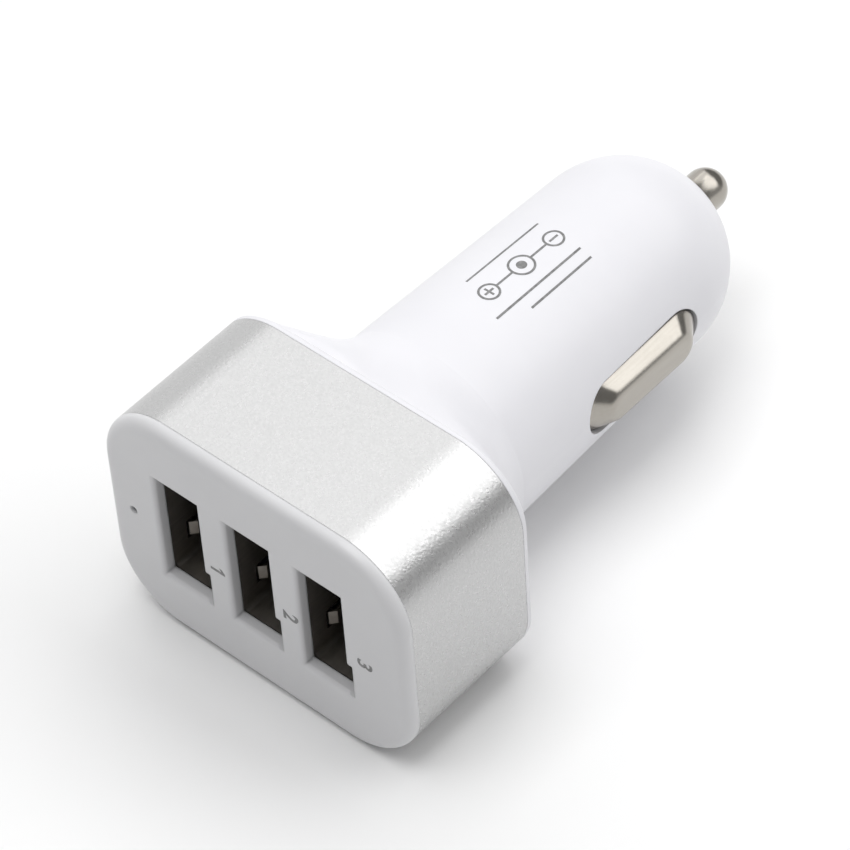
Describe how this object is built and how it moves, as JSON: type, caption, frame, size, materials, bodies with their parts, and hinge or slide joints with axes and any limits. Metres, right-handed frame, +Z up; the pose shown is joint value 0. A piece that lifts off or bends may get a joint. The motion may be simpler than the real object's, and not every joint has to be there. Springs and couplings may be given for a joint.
{
  "type": "car usb charger plug",
  "caption": "Car charger plug with a tapered white barrel, sprung centre pin and side contacts, and a flat rounded head in a metal sleeve with upright USB sockets.",
  "frame": {"origin": "on the barrel's axis, in the plane of the head's rear rim", "axes": "+Y along the barrel to the centre pin, with the USB face looking along -Y; +X across the head's width; +Z up"},
  "size_m": [0.0344, 0.0636, 0.0254],
  "materials": {
    "white_gloss": "glossy moulded",
    "white_face": "satin moulded",
    "sleeve_metal": "blasted and anodised",
    "contact_metal": "bright nickel plate",
    "spring_steel": "drawn",
    "terminal_brass": "tinned brass",
    "board": "solder mask",
    "shell_steel": "plated sheet",
    "tongue_black": "moulded",
    "pin_plate": "gold flash",
    "clear_plastic": "clear moulded",
    "led_body": "cast resin",
    "ferrite": "sintered",
    "copper": "enamelled wire",
    "can_metal": "drawn can",
    "chip_black": "moulded",
    "chip_ceramic": "ceramic"
  },
  "bodies": {
    "housing": {"barrel_housing": "white_gloss", "chip_parts": "chip_ceramic", "contact_spring_left": "spring_steel", "contact_spring_right": "spring_steel", "controller_chip": "chip_black", "faceplate": "white_face", "head_sleeve": "sleeve_metal", "indicator_led": "led_body", "inductor_core": "ferrite", "inductor_winding": "copper", "input_capacitor": "can_metal", "light_pipe": "clear_plastic", "main_board": "board", "output_capacitor": "can_metal", "port_board": "board", "rectifier_diode": "chip_black", "tip_spring": "spring_steel", "tip_terminal": "terminal_brass", "usb_pins_1": "pin_plate", "usb_pins_2": "pin_plate", "usb_pins_3": "pin_plate", "usb_shell_1": "shell_steel", "usb_shell_2": "shell_steel", "usb_shell_3": "shell_steel", "usb_tongue_1": "tongue_black", "usb_tongue_2": "tongue_black", "usb_tongue_3": "tongue_black"},
    "centre_pin": {"tip_contact": "contact_metal"},
    "left_contact": {"side_contact_left": "contact_metal"},
    "right_contact": {"side_contact_right": "contact_metal"}
  },
  "joints": [
    {"name": "pin_slide", "type": "slide", "parent": "housing", "child": "centre_pin", "axis": [0, -1, 0], "range_m": [0, 0.0025], "stiffness_N_per_m": 1200, "springref_m": -0.0025, "deforming": ["tip_spring"]},
    {"name": "left_contact_slide", "type": "slide", "parent": "housing", "child": "left_contact", "axis": [1, 0, 0], "range_m": [0, 0.00105], "stiffness_N_per_m": 3000, "springref_m": -0.0007, "deforming": ["contact_spring_left"]},
    {"name": "right_contact_slide", "type": "slide", "parent": "housing", "child": "right_contact", "axis": [-1, 0, 0], "range_m": [0, 0.00105], "stiffness_N_per_m": 3000, "springref_m": -0.0007, "deforming": ["contact_spring_right"]}
  ]
}
